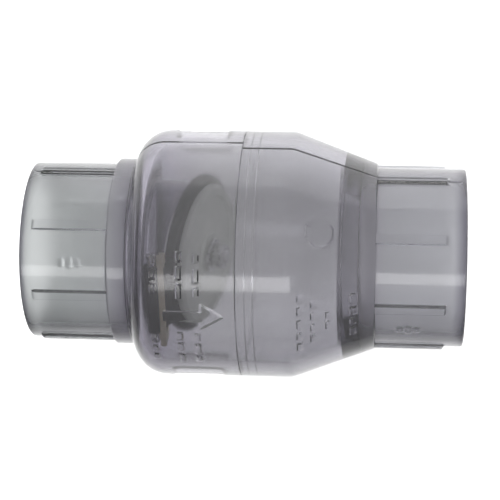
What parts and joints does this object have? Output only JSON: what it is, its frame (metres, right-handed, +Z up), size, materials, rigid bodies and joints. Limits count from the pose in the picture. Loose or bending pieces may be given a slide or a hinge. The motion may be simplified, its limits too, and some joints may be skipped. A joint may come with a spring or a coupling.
{
  "type": "swing check valve",
  "caption": "Clear plastic swing check valve: a bell-shaped body with a slip socket at each end and a top-hinged rubber flapper that lets flow pass one way.",
  "frame": {"origin": "on the flow axis, midway between the two socket rims", "axes": "+X along the flow axis from inlet to outlet, +Z up as installed, with the hinge on top"},
  "size_m": [0.1404, 0.0804, 0.0807],
  "materials": {
    "clear_pvc": "clear, faintly grey and violet, gloss",
    "black_rubber": "moulded rubber",
    "pale_plastic": "satin moulded plastic",
    "cream_plastic": "satin moulded plastic",
    "stainless": "bright stainless steel"
  },
  "bodies": {
    "valve_body": {"inlet_body": "clear_pvc", "outlet_body": "clear_pvc", "hinge_pin": "stainless", "hinge_keeper": "cream_plastic"},
    "flapper": {"flapper_seal": "black_rubber", "flapper_plate": "pale_plastic", "flapper_backing": "pale_plastic", "flapper_bolt": "stainless", "flapper_washer": "stainless", "flapper_nut": "stainless"}
  },
  "joints": [
    {"name": "flapper_hinge", "type": "hinge", "parent": "valve_body", "child": "flapper", "pos_m": [-0.0277, 0, 0.0285], "axis": [0, -1, 0], "range_deg": [0, 50]}
  ]
}
